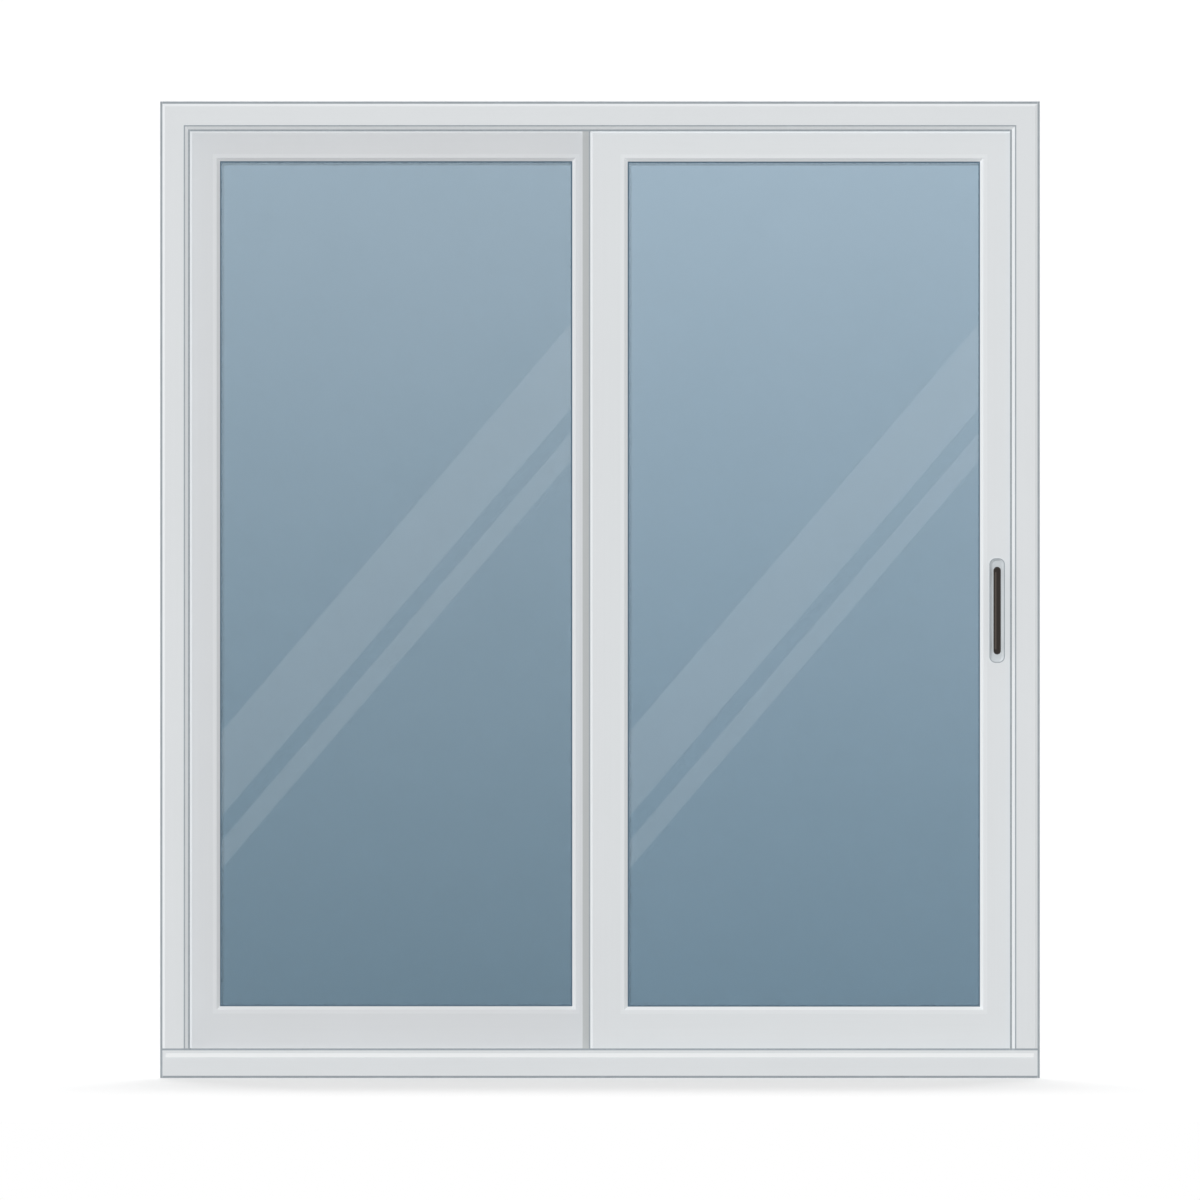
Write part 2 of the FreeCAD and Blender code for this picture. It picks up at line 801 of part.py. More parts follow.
def make_beads(name, left_stile, right_stile, left, front):
    """Four mitred glazing beads with a bevel towards the glass."""
    low_x = f"({left_stile} - bead_face)"
    high_x = f"(panel_width - {right_stile} + bead_face)"
    low_z = "(bottom_rail - bead_face)"
    high_z = "(panel_height - top_rail + bead_face)"
    outer = [(low_x, low_z), (high_x, low_z), (high_x, high_z), (low_x, high_z)]
    turn = [("1", "1"), ("-1", "1"), ("-1", "-1"), ("1", "-1")]
    inner = [
        (f"{x} + {sx} * bead_reach", f"{z} + {sz} * bead_reach")
        for (x, z), (sx, sz) in zip(outer, turn)
    ]
    for i, where in enumerate(("bottom", "right", "top", "left")):
        body = new_body(f"{name}_{where}_bead")
        outline = new_sketch(body, "XZ_Plane")
        after = (i + 1) % len(outer)
        draw_polygon(outline, [outer[i], outer[after], inner[after], inner[i]])
        pad(body, outline, "bead_thick", backwards=True)
        near = [
            FreeCAD.Vector(value(inner[j][0]), 0, value(inner[j][1]))
            for j in (i, after)
        ]

        def is_front_inner(a, b):
            return all(min((end - p).Length for p in near) < TOUCHING for end in (a, b))

        dress(body, "PartDesign::Chamfer", "Size", "bead_bevel", is_front_inner)
        place(body, left, front, "panel_bottom")


def make_ring(label, inset, width, stiles, left, front, low, high):
    """A rectangular ring inside the stiles and rails, from depth low to high."""
    left_stile, right_stile = stiles
    outer = (
        f"{left_stile} + {inset}",
        f"panel_width - {right_stile} - ({inset})",
        f"bottom_rail + {inset}",
        f"panel_height - top_rail - ({inset})",
    )
    body = new_body(label)
    outline = new_sketch(body, "XZ_Plane")
    draw_rectangle(outline, *outer)
    draw_rectangle(
        outline,
        f"{outer[0]} + {width}",
        f"{outer[1]} - {width}",
        f"{outer[2]} + {width}",
        f"{outer[3]} - {width}",
    )
    pad(body, outline, f"{high} - ({low})", backwards=True)
    place(body, left, f"{front} + {low}", "panel_bottom")


def make_glazing(name, stiles, left, front):
    """Two panes, the bar between them and the gasket under the beads."""
    left_stile, right_stile = stiles
    edge = "(glass_edge - bead_face)"
    pane = (
        f"{left} + {left_stile} + {edge}",
        f"{left} + panel_width - {right_stile} - {edge}",
    )
    pane_z = (
        f"panel_bottom + bottom_rail + {edge}",
        f"panel_top - top_rail - {edge}",
    )
    inner_front = f"{front} + unit_front"
    outer_front = f"{inner_front} + glass_thick + glass_space"
    block_part(
        f"{name}_room_pane", *pane, inner_front, f"{inner_front} + glass_thick", *pane_z
    )
    block_part(
        f"{name}_outside_pane",
        *pane,
        outer_front,
        f"{outer_front} + glass_thick",
        *pane_z,
    )
    make_ring(
        f"{name}_pane_spacer",
        edge,
        "spacer_width",
        stiles,
        left,
        front,
        "unit_front + glass_thick",
        "unit_front + glass_thick + glass_space",
    )
    make_ring(
        f"{name}_gasket",
        "(bead_bevel - gasket_cover)",
        "(gasket_cover + gasket_face)",
        stiles,
        left,
        front,
        "bead_thick",
        "unit_front",
    )


def make_panel(name, stiles, edges, left, front):
    """A glazed panel: stiles, rails, beads, panes, spacer and gasket."""
    left_stile, right_stile = stiles
    pieces = {}
    body = make_stile(f"{name}_left_stile", "1", left_stile, edges[0])
    place(body, left, front, "panel_bottom")
    pieces["left_stile"] = body
    body = make_stile(f"{name}_right_stile", "-1", right_stile, edges[1])
    place(body, f"{left} + panel_width", front, "panel_bottom")
    pieces["right_stile"] = body
    body = make_rail(f"{name}_bottom_rail", "1", "bottom_rail", left_stile, right_stile)
    place(body, f"{left} + {left_stile} - bead_face", front, "panel_bottom")
    pieces["bottom_rail"] = body
    body = make_rail(f"{name}_top_rail", "-1", "top_rail", left_stile, right_stile)
    cut_top_step(body, "0")
    place(body, f"{left} + {left_stile} - bead_face", front, "panel_top")
    pieces["top_rail"] = body
    make_beads(name, left_stile, right_stile, left, front)
    make_glazing(name, (left_stile, right_stile), left, front)
    return pieces


def notch_ends(body, front, back):
    """Cut an interlock's ends away between two depths, clear of the frame."""
    for low, high in (
        ("0", "interlock_notch"),
        ("panel_height - interlock_notch", "panel_height"),
    ):
        notch = new_sketch(body, "YZ_Plane")
        draw_rectangle(notch, front, back, low, high)
        pocket(body, notch)


def make_interlocks():
    """Two hooked profiles on the meeting stiles that lap each other when closed."""
    sheet = "interlock_sheet"
    body = new_body("fixed_interlock")
    outline = new_sketch(body, "XY_Plane")
    tip = "fixed_right - interlock_leg"
    draw_polygon(
        outline,
        [
            ("slide_left - interlock_show", "fixed_front"),
            ("slide_left - interlock_show", "fixed_plate_front"),
            (f"fixed_right - {sheet}", "fixed_plate_front"),
            (f"fixed_right - {sheet}", "fixed_leg_back"),
            (tip, "fixed_leg_back"),
            (tip, "fixed_leg_front"),
            ("fixed_right", "fixed_leg_front"),
            ("fixed_right", "fixed_front"),
        ],
    )
    pad(body, outline, "panel_height")
    notch_ends(body, f"fixed_leg_front - {sheet}", "fixed_plate_front")
    place(body, z="panel_bottom")
    body = new_body("sliding_interlock")
    outline = new_sketch(body, "XY_Plane")
    tip = "slide_left + interlock_leg"
    draw_polygon(
        outline,
        [
            ("slide_left", "slide_front + meeting_bevel"),
            ("slide_left + interlock_web", "slide_front + meeting_bevel"),
            ("slide_left + interlock_web", "slide_back"),
            ("slide_left + interlock_foot", "slide_back"),
            ("slide_left + interlock_foot", f"slide_back + {sheet}"),
            ("slide_left + interlock_web", f"slide_back + {sheet}"),
            ("slide_left + interlock_web", "slide_leg_front"),
            (tip, "slide_leg_front"),
            (tip, "slide_leg_back"),
            ("slide_left", "slide_leg_back"),
        ],
    )
    pad(body, outline, "panel_height")
    notch_ends(body, "track_room_front", f"slide_leg_back + {sheet}")
    place(body, z="panel_bottom")


def cut_guides(pieces):
    """The grooves over the track and round the head guide, and the roller pockets."""
    middle = "panel_depth / 2"
    half = "track_groove / 2"
    for name, side, depth in (
        ("bottom_rail", "1", "bottom_groove"),
        ("top_rail", "-1", "top_groove"),
    ):
        body = pieces[name]
        groove = new_sketch(body, "YZ_Plane")
        draw_rectangle(
            groove,
            f"{middle} - {half}",
            f"{middle} + {half}",
            "0",
            f"{side} * ({depth})",
        )
        pocket(body, groove)
    for name, side in (("left_stile", "1"), ("right_stile", "-1")):
        body = pieces[name]
        for low, high in (
            ("0", "bottom_groove"),
            ("panel_height - (top_groove)", "panel_height"),
        ):
            groove = new_sketch(body, "YZ_Plane")
            draw_rectangle(groove, f"{middle} - {half}", f"{middle} + {half}", low, high)
            pocket(body, groove)


def carriage_edges():
    """Left and right ends of the two roller carriages."""
    near = "slide_left + meeting_stile + carriage_inset"
    far = "slide_right - outer_stile - carriage_inset - carriage_length"
    return [(start, f"{start} + carriage_length") for start in (near, far)]


def make_roller(name, x):
    """A roller with a grooved tread and its axle, turned about one axis."""
    body = doc.addObject("PartDesign::Body", name)
    body.Label = name
    outline = new_sketch(body, "YZ_Plane")
    draw_polygon(
        outline,
        [
            ("-carriage_gap / 2", "0"),
            ("-carriage_gap / 2", "axle_radius"),
            ("-roller_width / 2", "axle_radius"),
            ("-roller_width / 2", "roller_radius + tread_depth"),
            ("-tread_width / 2", "roller_radius + tread_depth"),
            ("track_edge - track_thick / 2", "roller_radius"),
            ("track_thick / 2 - track_edge", "roller_radius"),
            ("tread_width / 2", "roller_radius + tread_depth"),
            ("roller_width / 2", "roller_radius + tread_depth"),
            ("roller_width / 2", "axle_radius"),
            ("carriage_gap / 2", "axle_radius"),
            ("carriage_gap / 2", "0"),
        ],
    )
    turned = body.newObject("PartDesign::Revolution", f"{name}_turned")
    turned.Profile = outline
    turned.ReferenceAxis = (outline, ["H_Axis"])
    place(body, x, "slide_middle", "roller_middle")
    doc.recompute()
    return body


def make_rollers(pieces):
    """Pockets in the bottom rail, a carriage in each, and the rollers."""
    rail = pieces["bottom_rail"]
    rail_start = "(slide_left + meeting_stile - bead_face)"
    pockets = new_sketch(rail, "XZ_Plane", "-panel_depth / 2")
    for start, end in carriage_edges():
        draw_rectangle(
            pockets,
            f"{start} - {rail_start}",
            f"{end} - {rail_start}",
            "bottom_groove / 2",
            "carriage_top + carriage_plate - panel_bottom",
        )
    symmetric_pocket(rail, pockets, "track_groove")
    low = "panel_bottom + bottom_groove"
    wide = ("slide_middle - track_groove / 2", "slide_middle + track_groove / 2")
    gap = ("slide_middle - carriage_gap / 2", "slide_middle + carriage_gap / 2")
    carriages = []
    wheels = []
    for i, (start, end) in enumerate(carriage_edges()):
        shell = doc.addObject("Part::Cut", f"carriage_{i}")
        shell.Base = box(
            f"carriage_outside_{i}",
            start,
            end,
            *wide,
            low,
            "carriage_top + carriage_plate",
        )
        shell.Tool = box(f"carriage_inside_{i}", start, end, *gap, low, "carriage_top")
        carriages.append(shell)
        middle = f"({start} + {end}) / 2"
        wheels.append(make_roller(f"roller_{i}", middle))
    group("roller_carriages", carriages)
    group("rollers", wheels)


def make_end_stop():
    """The rubber block on the sill that the open panel stops short of."""
    block_part(
        "end_stop",
        "slide_floor - half_width",
        "stop_end - half_width",
        "slide_middle - stop_width / 2",
        "slide_middle + stop_width / 2",
        "slide_lane",
        "slide_lane + stop_height",
    )


def make_handle(pieces):
    """The dished plate let into the closing stile and the grip bar standing in it."""
    stile = pieces["right_stile"]
    lift = "(handle_height - panel_bottom)"
    inner_width = "(plate_width - 2 * plate_lap)"
    inner_height = "(plate_height - 2 * plate_lap)"
    inner_corner = "(plate_corner - plate_lap)"
    seat = new_sketch(stile, "XZ_Plane")
    draw_rounded_rectangle(
        seat, "-handle_edge", lift, inner_width, inner_height, inner_corner
    )
    pocket(stile, seat, "plate_back - slide_front")
    plate = new_body("handle_plate")
    rim = new_sketch(plate, "XZ_Plane")
    draw_rounded_rectangle(rim, "0", "0", "plate_width", "plate_height", "plate_corner")
    pad(plate, rim, "plate_proud")
    pan = new_sketch(plate, "XZ_Plane")
    draw_rounded_rectangle(pan, "0", "0", inner_width, inner_height, inner_corner)
    pad(plate, pan, "plate_back - slide_front", backwards=True)
    mouth = new_sketch(plate, "XZ_Plane", "plate_proud")
    draw_rounded_rectangle(
        mouth,
        "0",
        "0",
        "plate_width - 2 * plate_rim",
        "plate_height - 2 * plate_rim",
        "plate_corner - plate_rim",
    )
    dish = pocket(plate, mouth, "dish_depth")
    bind(dish, "TaperAngle", "-dish_slope")
    doc.recompute()
    place(plate, "handle_x", "slide_front", "handle_height")
    grip = new_body("grip_bar")
    bar = new_sketch(grip, "XZ_Plane")
    draw_capsule(bar, "0", "0", "grip_width", "grip_height")
    pad(grip, bar, "grip_thick")
    front = -value("grip_thick")

    def is_front(a, b):
        return max(abs(a.y - front), abs(b.y - front)) < TOUCHING

    dress(grip, "PartDesign::Fillet", "Radius", "grip_round", is_front)
    posts = new_sketch(grip, "XZ_Plane")
    for side in ("-1", "1"):
        draw_circle(
            posts, "0", f"{side} * (grip_height / 2 - post_inset)", "post_radius"
        )
    pad(grip, posts, "grip_gap", backwards=True)
    place(grip, "handle_x", "grip_back", "handle_height")


def make_outside_pull(pieces):
    """The finger pull let into the outside of the closing stile, flush with it."""
    stile = pieces["right_stile"]
    seat = new_sketch(stile, "XZ_Plane", "-panel_depth")
    draw_rounded_rectangle(
        seat,
        "-handle_edge",
        "handle_height - panel_bottom",
        "pull_width",
        "pull_height",
        "pull_corner",
    )
    pocket(stile, seat, "pull_depth", backwards=True)
    cup = new_body("outside_pull")
    outline = new_sketch(cup, "XZ_Plane")
    draw_rounded_rectangle(
        outline, "0", "0", "pull_width", "pull_height", "pull_corner"
    )
    pad(cup, outline, "pull_depth")
    hollow = new_sketch(cup, "XZ_Plane")
    draw_rounded_rectangle(
        hollow,
        "0",
        "0",
        "pull_width - 2 * pull_wall",
        "pull_height - 2 * pull_wall",
        "pull_corner - pull_wall",
    )
    pocket(cup, hollow, "pull_depth - pull_wall", backwards=True)
    place(cup, "handle_x", "slide_back", "handle_height")


def make_lock(pieces, jamb):
    """The lock's face plate in the stile's edge and the strike in the jamb."""
    stile = pieces["right_stile"]
    middle = "panel_depth / 2"
    lift = "(handle_height - panel_bottom)"
    seat = new_sketch(stile, "YZ_Plane")
    draw_rectangle(
        seat,
        f"{middle} - lock_width / 2",
        f"{middle} + lock_width / 2",
        f"{lift} - lock_height / 2",
        f"{lift} + lock_height / 2",
    )
    pocket(stile, seat, "lock_thick")
    for label, x, height, inwards in (
        ("lock_plate", "slide_right", "lock_height", True),
        ("strike_plate", "half_width - slide_floor", "strike_height", False),
    ):
        body = new_body(label)
        outline = new_sketch(body, "YZ_Plane")
        draw_rectangle(
            outline, "-lock_width / 2", "lock_width / 2", f"-{height} / 2", f"{height} / 2"
        )
        draw_rectangle(
            outline,
            "-bolt_slot / 2",
            "bolt_slot / 2",
            "-bolt_slot_height / 2",
            "bolt_slot_height / 2",
        )
        pad(body, outline, "lock_thick", backwards=inwards)
        place(body, x, "slide_middle", "handle_height")
    recess = new_sketch(jamb, "YZ_Plane", "-slide_floor")
    draw_rectangle(
        recess,
        "slide_middle - lock_width / 2",
        "slide_middle + lock_width / 2",
        "handle_height - jamb_base - strike_height / 2",
        "handle_height - jamb_base + strike_height / 2",
    )
    pocket(jamb, recess, "lock_thick", backwards=True)


make_sill()
make_nosing()
make_jamb("left_jamb", "1")
closing_jamb = make_jamb("right_jamb", "-1")
make_head()
make_seals()
make_track()
make_jamb_gaskets()
make_panel(
    "fixed",
    ("outer_stile", "meeting_stile"),
    (STEPPED_EDGE, PLAIN_EDGE),
    "fixed_left",
    "fixed_front",
)
sliding = make_panel(
    "sliding",
    ("meeting_stile", "outer_stile"),
    (MEETING_EDGE, PLAIN_EDGE),
    "slide_left",
    "slide_front",
)
make_interlocks()
cut_guides(sliding)
make_rollers(sliding)
make_end_stop()
make_handle(sliding)
make_outside_pull(sliding)
make_lock(sliding, closing_jamb)


def write_parts():
    """Check every object and each solid, then write one file for each sub-part."""
    doc.recompute()
    for thing in doc.Objects:
        if "Invalid" in thing.State or "Error" in thing.State:
            raise RuntimeError(f"{thing.Label} failed: {thing.State}")
    os.makedirs("parts", exist_ok=True)
    for part in parts:
        shape = part.Shape
        if shape.isNull() or not shape.isValid() or not shape.Solids:
            raise RuntimeError(f"{part.Label} is no valid solid")
        shape.exportStep(f"parts/{part.Label}.step")
        print(part.Label, len(shape.Solids), round(shape.Volume / 1000), "cm3")


write_parts()
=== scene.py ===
import math

import bpy
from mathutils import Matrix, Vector


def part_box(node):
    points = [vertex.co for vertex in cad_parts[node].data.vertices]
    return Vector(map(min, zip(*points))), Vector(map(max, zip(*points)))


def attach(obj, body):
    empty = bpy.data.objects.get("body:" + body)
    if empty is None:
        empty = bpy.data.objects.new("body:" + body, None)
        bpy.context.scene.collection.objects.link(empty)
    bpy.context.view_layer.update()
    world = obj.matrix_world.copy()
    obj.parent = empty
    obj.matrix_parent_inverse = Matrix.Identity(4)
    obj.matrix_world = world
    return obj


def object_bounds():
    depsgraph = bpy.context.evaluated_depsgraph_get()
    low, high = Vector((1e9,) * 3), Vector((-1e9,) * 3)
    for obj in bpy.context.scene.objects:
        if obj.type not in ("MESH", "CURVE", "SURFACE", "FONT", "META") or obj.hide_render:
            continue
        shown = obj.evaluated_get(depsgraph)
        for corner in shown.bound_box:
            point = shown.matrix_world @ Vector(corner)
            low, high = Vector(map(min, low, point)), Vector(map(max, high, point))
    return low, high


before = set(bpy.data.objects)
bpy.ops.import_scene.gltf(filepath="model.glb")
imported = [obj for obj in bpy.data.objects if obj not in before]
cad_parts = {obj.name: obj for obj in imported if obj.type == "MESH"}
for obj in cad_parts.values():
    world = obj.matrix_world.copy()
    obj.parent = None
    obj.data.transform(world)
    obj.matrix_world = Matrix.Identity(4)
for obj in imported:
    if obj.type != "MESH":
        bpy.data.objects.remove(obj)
cad_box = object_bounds()

# The view: a square picture from the room side, almost level.
PIXEL = 0.0020647
PIXELS = 1200
VIEW_MIDDLE_Z = 0.9871
VIEW_ELEVATION = math.radians(0.65)
CAMERA_DISTANCE = 8.0

# Light, as the share of a written colour that each source gives back.  The
# fills cast no shadow: the lights from behind cast the one before the door.
AMBIENT = 0.32
FILLS = {
    "front": ((0, -1, 0), 0.62),
    "left": ((-1, 0, 0), 0.54),
    "right": ((1, 0, 0), 0.08),
    "top": ((0, 0, 1), 0.48),
    "rear": ((0.5, 1, 0), 0.22),
}
FILL_SPREAD = math.radians(20)
BACK_SHARE = 0.265
BACK_ELEVATIONS = (32, 38, 45)
BACK_SPREAD = math.radians(14)

# The floor: half its side, how far it lies below the door, and its grey where
# it is seen and where it throws light on the door.
FLOOR_HALF = 250.0
FLOOR_DROP = 0.0003
FLOOR_SEEN = 0.915
FLOOR_BOUNCE = 0.35

# Colours as display values from 0 to 255.
FRAME_GREY = (217, 220, 222)
# Painted shade: the fixed panel is the frame's vinyl made darker, for the shade it lies
# in, set back in the frame.
FIXED_SHADED_GREY = (207, 209, 211)
# Painted light: the glazing beads are their panel's vinyl made lighter, so that their
# bevels show brighter and the shade beside the glass is lifted. The fixed panel's beads
# also keep its painted shade.
SLIDING_BEAD_LIT_GREY = (221, 224, 226)
FIXED_BEAD_SHADED_LIT_GREY = (212, 214, 216)
# Painted highlight: the sill's nosing is the frame's vinyl made lighter, for the light on
# its upward slope.
NOSING_LIT_GREY = (224, 226, 227)
LINE_GREY = (152, 159, 164)
# Partly painted shadow: the fixed panel's interlock is a real profile, but its grey is
# darkened to the shadow that the sliding panel throws beside it.
INTERLOCK_SHADOW_GREY = (183, 185, 185)
PLATE_GREY = (195, 200, 203)
GRIP_BROWN = (44, 39, 36)
# Painted highlight: the grip bar's glint, as a paler brown.
GRIP_HIGHLIGHT_BROWN = (82, 74, 69)
GASKET_BLUE = (78, 99, 114)
SPACER_GREY = (150, 160, 168)
TRACK_GREY = (200, 202, 204)
ZINC_GREY = (190, 190, 188)
STEEL_GREY = (176, 178, 180)
NYLON_WHITE = (224, 222, 212)
STOP_BLACK = (44, 44, 44)
CLEAR_TINTS = ((240, 245, 246), (246, 249, 250))
# The room-side panes, each at its top and at its foot: the glass's own blue-grey tint,
# paler towards the top as a painted reflection.
FIXED_TINT_AND_REFLECTION = ((153, 173, 187), (107, 130, 145))
SLIDING_TINT_AND_REFLECTION = ((159, 180, 195), (111, 135, 151))

# Noise patterns: scale and detail.
EXTRUSION_LINES = (260, 3)
EXTRUSION_CLOUD = (5, 3)
EXTRUSION_GRAIN = (1400, 2)
PILE_FIBRES = (900, 2)
PILE_TUFTS = (240, 1)
RUBBER_SKIN = (1100, 3)
RUBBER_DUST = (30, 4)
METAL_SCRATCHES = (1500, 3)
METAL_STAIN = (25, 4)
GLASS_HAZE = (3, 3)
# A pattern drawn out along one axis.
STRETCHES = {"x": (0.01, 1, 1), "z": (1, 1, 0.01)}
# The range that one noise keeps to, and that the sum of two keeps to.
NOISE_SPAN = (0.3, 0.7)
SUM_SPAN = (0.6, 1.4)
DUST_SPAN = (0.35, 0.7)

# How a pattern darkens and lightens a surface.
PILE_LIGHT = (0.88, 1.1)
RUBBER_LIGHT = (0.95, 1.07)
METAL_LIGHT = (0.93, 1.05)
# How a pattern lowers and raises the roughness.
EXTRUSION_ROUGH = (-0.05, 0.07)
RUBBER_ROUGH = (-0.06, 0.1)
METAL_ROUGH = (-0.08, 0.1)
PILE_ROUGHNESS = 0.95
PILE_SHEEN = 0.15
# How deep a pattern is, in metres.
EXTRUSION_BUMP = 0.00002
PILE_BUMP = 0.0003
RUBBER_BUMP = 0.00004
METAL_BUMP = 0.00001
# The depth of the lines along a profile against that of its grain.
LINES_DEPTH = 0.6

# Sockets of the node that mixes two colours.
MIX_SHARE, MIX_FIRST, MIX_SECOND = 0, 6, 7
MIX_RESULT = 2
WHITE = (1, 1, 1, 1)
BLACK = (0, 0, 0, 1)


def linear(colour):
    """A display colour as the linear RGBA that a shader takes."""
    shares = [c / 255 for c in colour]
    return tuple(
        s / 12.92 if s <= 0.04045 else ((s + 0.055) / 1.055) ** 2.4 for s in shares
    ) + (1.0,)


def fill(tree, node, inputs):
    """Set a node's sockets, or link them to the outputs of other nodes."""
    for key, given in inputs.items():
        if isinstance(given, bpy.types.NodeSocket):
            tree.links.new(given, node.inputs[key])
        else:
            node.inputs[key].default_value = given


def add(tree, kind, inputs=None, **settings):
    """A node with its settings made and its sockets filled or linked."""
    node = tree.nodes.new(kind)
    for name, setting in settings.items():
        setattr(node, name, setting)
    fill(tree, node, inputs or {})
    return node


def calc(tree, operation, *numbers):
    """The result of a Math node."""
    inputs = dict(enumerate(numbers))
    return add(tree, "ShaderNodeMath", inputs, operation=operation).outputs[0]


def blend(tree, share, first, second, kind="MIX"):
    """Two colours mixed by a share."""
    inputs = {MIX_SHARE: share, MIX_FIRST: first, MIX_SECOND: second}
    node = add(tree, "ShaderNodeMix", inputs, data_type="RGBA", blend_type=kind)
    return node.outputs[MIX_RESULT]


def ramp(tree, value, span, result=(0.0, 1.0)):
    """A number carried from one range to another and held there."""
    inputs = dict(enumerate((value, *span, *result)))
    return add(tree, "ShaderNodeMapRange", inputs, clamp=True).outputs[0]


def noise(tree, where, pattern, stretch=(1, 1, 1)):
    """Noise over the object's own coordinates, stretched along the axes."""
    scale, detail = pattern
    mapped = add(tree, "ShaderNodeMapping", {"Vector": where, "Scale": stretch})
    inputs = {"Vector": mapped.outputs[0], "Scale": scale, "Detail": detail}
    return add(tree, "ShaderNodeTexNoise", inputs).outputs[0]


def grey(tree, level):
    """A grey of the given level."""
    inputs = {0: level, 1: level, 2: level}
    return add(tree, "ShaderNodeCombineColor", inputs).outputs[0]


def tinted(tree, colour, light):
    """A display colour, darkened or lightened by a number."""
    return blend(tree, 1.0, linear(colour), grey(tree, light), "MULTIPLY")


def bump(tree, height, distance):
    """The surface's direction where a pattern raises it by a distance."""
    inputs = {"Height": height, "Distance": distance}
    return add(tree, "ShaderNodeBump", inputs).outputs[0]


def around(middle, spread):
    """The range from a number lowered to that number raised."""
    return middle + spread[0], middle + spread[1]


def start_material(name):
    """A new material with its tree and its Principled shader."""
    material = bpy.data.materials.new(name)
    material.use_nodes = True
    tree = material.node_tree
    return material, tree, tree.nodes["Principled BSDF"]


def own_coordinates(tree):
    """The coordinates of the object itself."""
    return add(tree, "ShaderNodeTexCoord").outputs["Object"]


def extruded(name, colour, along, roughness=0.4, variation=0.012, gloss=0.4):
    """Satin plastic profile: faint lines along its length and a fine grain."""
    material, tree, shader = start_material(name)
    where = own_coordinates(tree)
    lines = noise(tree, where, EXTRUSION_LINES, STRETCHES[along])
    cloud = noise(tree, where, EXTRUSION_CLOUD)
    grain = noise(tree, where, EXTRUSION_GRAIN)
    spread = calc(tree, "ADD", lines, cloud)
    light = ramp(tree, spread, SUM_SPAN, (1 - variation, 1 + variation))
    rough = ramp(tree, lines, NOISE_SPAN, around(roughness, EXTRUSION_ROUGH))
    height = calc(tree, "MULTIPLY_ADD", lines, LINES_DEPTH, grain)
    inputs = {
        "Base Color": tinted(tree, colour, light),
        "Roughness": rough,
        "Specular IOR Level": gloss,
        "Normal": bump(tree, height, EXTRUSION_BUMP),
    }
    fill(tree, shader, inputs)
    return material


def pile(name, colour):
    """Brush seal: rows of fine fibres across the strip."""
    material, tree, shader = start_material(name)
    where = own_coordinates(tree)
    fibres = noise(tree, where, PILE_FIBRES)
    tufts = noise(tree, where, PILE_TUFTS)
    light = ramp(tree, calc(tree, "ADD", fibres, tufts), SUM_SPAN, PILE_LIGHT)
    inputs = {
        "Base Color": tinted(tree, colour, light),
        "Roughness": PILE_ROUGHNESS,
        "Sheen Weight": PILE_SHEEN,
        "Normal": bump(tree, fibres, PILE_BUMP),
    }
    fill(tree, shader, inputs)
    return material


def rubber(name, colour, roughness=0.75):
    """Matt rubber with a fine skin and a little dust."""
    material, tree, shader = start_material(name)
    where = own_coordinates(tree)
    skin = noise(tree, where, RUBBER_SKIN)
    dust = noise(tree, where, RUBBER_DUST)
    light = ramp(tree, dust, DUST_SPAN, RUBBER_LIGHT)
    inputs = {
        "Base Color": tinted(tree, colour, light),
        "Roughness": ramp(tree, dust, NOISE_SPAN, around(roughness, RUBBER_ROUGH)),
        "Normal": bump(tree, skin, RUBBER_BUMP),
    }
    fill(tree, shader, inputs)
    return material


def metal(name, colour, along, roughness):
    """Drawn or brushed metal with fine scratches along one axis."""
    material, tree, shader = start_material(name)
    where = own_coordinates(tree)
    scratches = noise(tree, where, METAL_SCRATCHES, STRETCHES[along])
    stain = noise(tree, where, METAL_STAIN)
    light = ramp(tree, calc(tree, "ADD", scratches, stain), SUM_SPAN, METAL_LIGHT)
    rough = ramp(tree, scratches, NOISE_SPAN, around(roughness, METAL_ROUGH))
    inputs = {
        "Base Color": tinted(tree, colour, light),
        "Metallic": 1.0,
        "Roughness": rough,
        "Normal": bump(tree, scratches, METAL_BUMP),
    }
    fill(tree, shader, inputs)
    return material


# What the panes add by their gloss and let through of a tint: red, green, blue.
GLASS_SHEEN = (0.0304, 0.0281, 0.0234)
GLASS_CLEAR = (0.855, 0.898, 0.919)
GLASS_IOR = 1.45
GLASS_STOPS = 5
# How far a pane reaches under its beads and gasket.
GASKET_EDGE = 0.015
# The paler slanting bands, painted reflections of glare: their slope, the heights at the
# glass's left edge between which each lies, and their share of white.
GLARE_SLOPE = 1.1676
GLARE_BANDS = ((0.5389, 0.7144), (0.4305, 0.4893))
GLARE_SHARE = 0.065
# Glass in the shade of the beads: full up to, gone from, and its share.
LEFT_SHADE = (0.0042, 0.0054, 0.17)
TOP_SHADE = (0.0042, 0.0066, 0.28)


def glass_tint(colour):
    """The tint at which a pane before a white ground shows a display colour."""
    channels = zip(linear(colour), GLASS_SHEEN, GLASS_CLEAR)
    return tuple((seen - sheen) / clear for seen, sheen, clear in channels) + (1.0,)


def glassy(tree, shader, colour):
    """Make a shader see-through, with the given colour."""
    inputs = {
        "Base Color": colour,
        "Transmission Weight": 1.0,
        "Roughness": 0.0,
        "IOR": GLASS_IOR,
    }
    fill(tree, shader, inputs)


